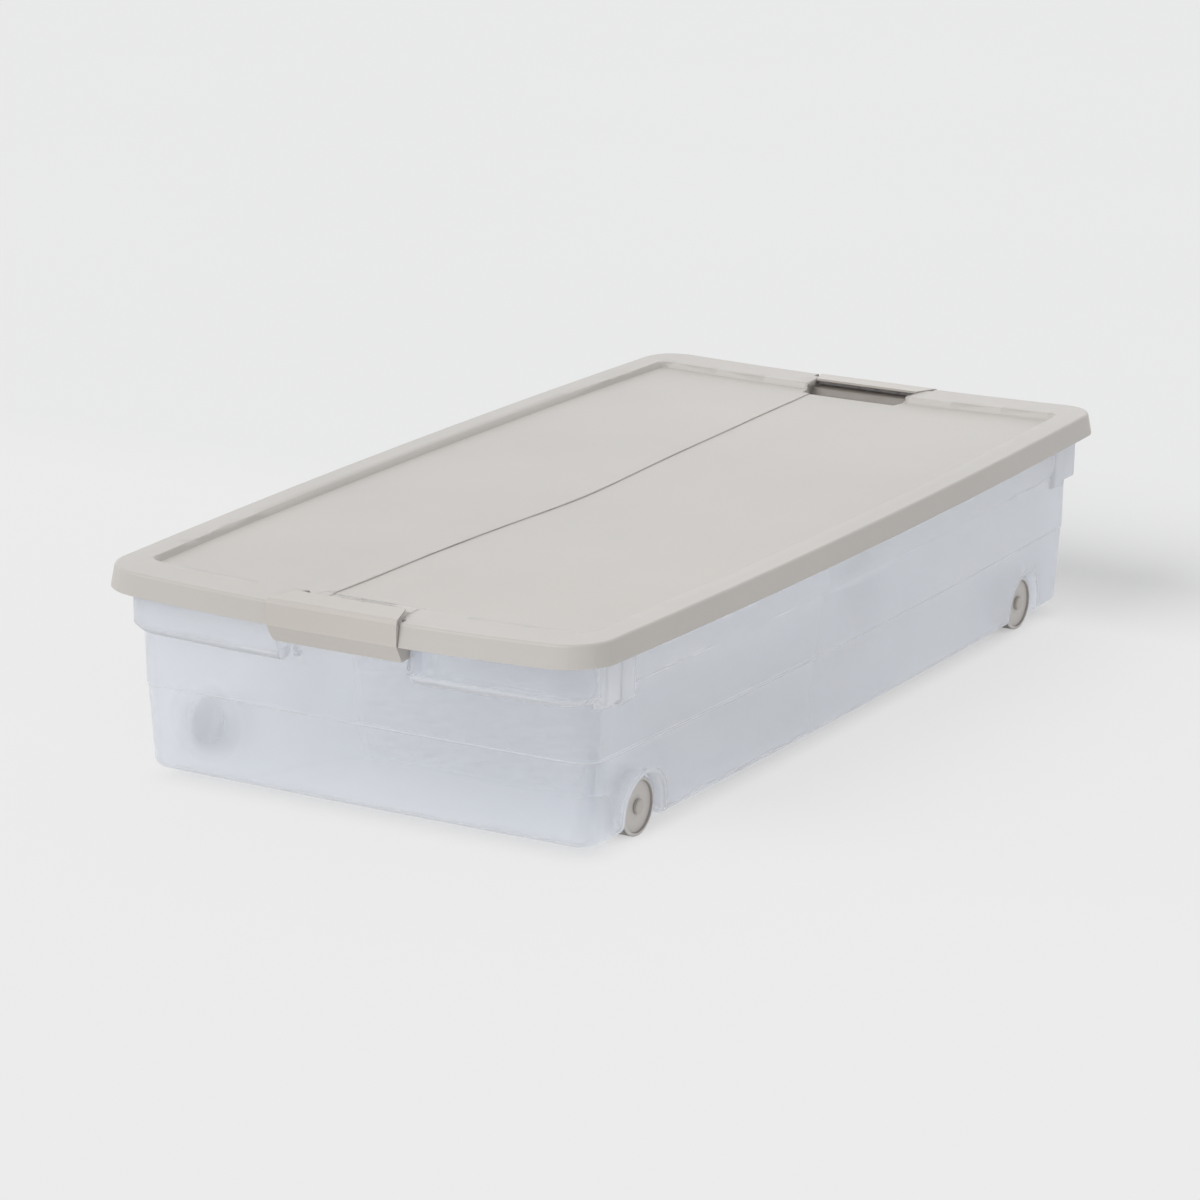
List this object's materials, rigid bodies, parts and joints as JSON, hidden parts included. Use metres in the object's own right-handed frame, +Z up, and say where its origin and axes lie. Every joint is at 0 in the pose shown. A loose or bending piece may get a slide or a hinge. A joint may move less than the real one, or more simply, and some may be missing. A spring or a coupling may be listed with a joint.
{
  "type": "under bed storage box",
  "caption": "Low translucent plastic tub on small fixed wheels, with an opaque drop-on lid held by a swing latch at each end; slides under a bed and stores bedding or clothes.",
  "frame": {"origin": "centre of the footprint, on the floor plane under the wheels", "axes": "+X across the width, +Y along the length towards the rear latch, +Z up"},
  "size_m": [0.4774, 0.8928, 0.1808],
  "materials": {
    "clear_tub": "frosted translucent natural polypropylene, satin",
    "taupe_lid": "opaque warm grey polypropylene, fine texture",
    "taupe_latch": "opaque warm grey polypropylene, satin",
    "wheel_plastic": "hard moulded plastic, satin",
    "pin_plastic": "hard moulded plastic, satin"
  },
  "bodies": {
    "tub": {"tub": "clear_tub", "axle_pin_front_left": "pin_plastic", "axle_pin_front_right": "pin_plastic", "axle_pin_rear_left": "pin_plastic", "axle_pin_rear_right": "pin_plastic"},
    "lid": {"lid": "taupe_lid"},
    "latch_front": {"latch_front": "taupe_latch"},
    "latch_rear": {"latch_rear": "taupe_latch"},
    "wheel_front_left": {"wheel_front_left": "wheel_plastic"},
    "wheel_front_right": {"wheel_front_right": "wheel_plastic"},
    "wheel_rear_left": {"wheel_rear_left": "wheel_plastic"},
    "wheel_rear_right": {"wheel_rear_right": "wheel_plastic"}
  },
  "joints": [
    {"name": "lid_lift", "type": "slide", "parent": "tub", "child": "lid", "axis": [0, 0, 1], "range_m": [0, 0.24]},
    {"name": "latch_front_swing", "type": "hinge", "parent": "tub", "child": "latch_front", "pos_m": [0, -0.428, 0.15], "axis": [1, 0, 0], "range_deg": [0, 120]},
    {"name": "latch_rear_swing", "type": "hinge", "parent": "tub", "child": "latch_rear", "pos_m": [0, 0.428, 0.15], "axis": [-1, 0, 0], "range_deg": [0, 120]},
    {"name": "wheel_front_left_spin", "type": "hinge", "parent": "tub", "child": "wheel_front_left", "pos_m": [-0.192, -0.3286, 0.0235], "axis": [1, 0, 0], "continuous": true},
    {"name": "wheel_front_right_spin", "type": "hinge", "parent": "tub", "child": "wheel_front_right", "pos_m": [0.192, -0.3286, 0.0235], "axis": [1, 0, 0], "continuous": true},
    {"name": "wheel_rear_left_spin", "type": "hinge", "parent": "tub", "child": "wheel_rear_left", "pos_m": [-0.192, 0.3286, 0.0235], "axis": [1, 0, 0], "continuous": true},
    {"name": "wheel_rear_right_spin", "type": "hinge", "parent": "tub", "child": "wheel_rear_right", "pos_m": [0.192, 0.3286, 0.0235], "axis": [1, 0, 0], "continuous": true}
  ]
}
